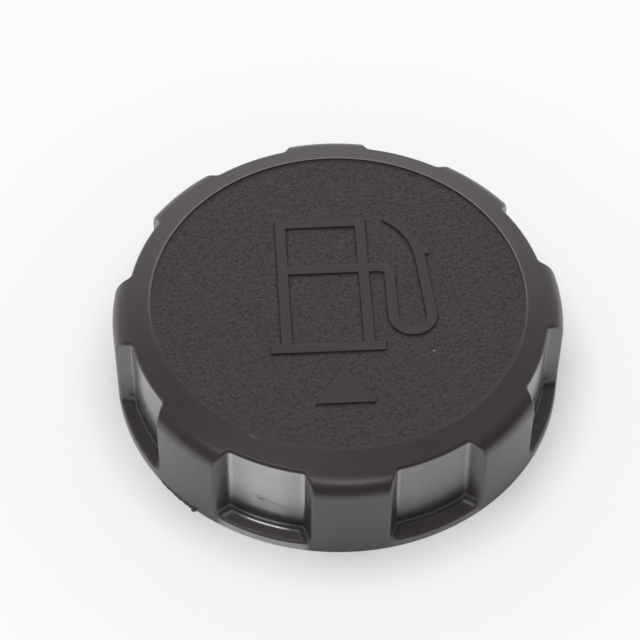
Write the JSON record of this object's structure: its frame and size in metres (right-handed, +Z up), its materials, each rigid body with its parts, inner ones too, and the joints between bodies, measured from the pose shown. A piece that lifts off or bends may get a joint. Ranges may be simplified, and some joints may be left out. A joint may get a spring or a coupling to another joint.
{
  "type": "fuel filler cap",
  "caption": "Round black screw-on fuel filler cap with grip pockets, a sunk grained disc with a raised pump figure, and a ratchet closure with vent valves inside.",
  "frame": {"origin": "centre of the skirt's foot, on the surface that the cap rests on", "axes": "+Z up along the cap's axis, away from the filler neck; +Y towards the top of the raised pump figure; +X to its right"},
  "size_m": [0.089, 0.089, 0.0229],
  "materials": {
    "shell_plastic": "moulded, satin, with a fine leather grain on the disc",
    "inner_plastic": "moulded, satin",
    "natural_plastic": "moulded, undyed",
    "gasket_rubber": "matt",
    "spring_steel": "drawn wire",
    "filter_foam": "open-cell foam"
  },
  "bodies": {
    "shell": {"outer_shell": "shell_plastic", "drive_ring": "natural_plastic", "retaining_ring": "inner_plastic"},
    "closure": {"threaded_closure": "inner_plastic", "neck_gasket": "gasket_rubber", "vent_cover": "inner_plastic", "vent_filter": "filter_foam", "pressure_spring": "spring_steel"},
    "pressure_valve": {"pressure_valve": "natural_plastic", "valve_seal": "gasket_rubber", "vacuum_spring": "spring_steel"},
    "vacuum_valve": {"vacuum_valve": "natural_plastic", "stem_clip": "spring_steel"}
  },
  "joints": [
    {"name": "ratchet", "type": "hinge", "parent": "shell", "child": "closure", "pos_m": [0, 0, 0.0158], "axis": [0, 0, 1], "range_deg": [0, 360], "deforming": ["drive_ring"]},
    {"name": "pressure_lift", "type": "slide", "parent": "closure", "child": "pressure_valve", "axis": [0, 0, 1], "range_m": [0, 0.0008], "stiffness_N_per_m": 400, "springref_m": -0.002, "deforming": ["pressure_spring"]},
    {"name": "vacuum_drop", "type": "slide", "parent": "pressure_valve", "child": "vacuum_valve", "axis": [0, 0, -1], "range_m": [0, 0.0006], "stiffness_N_per_m": 100, "springref_m": -0.001, "deforming": ["vacuum_spring"]}
  ]
}
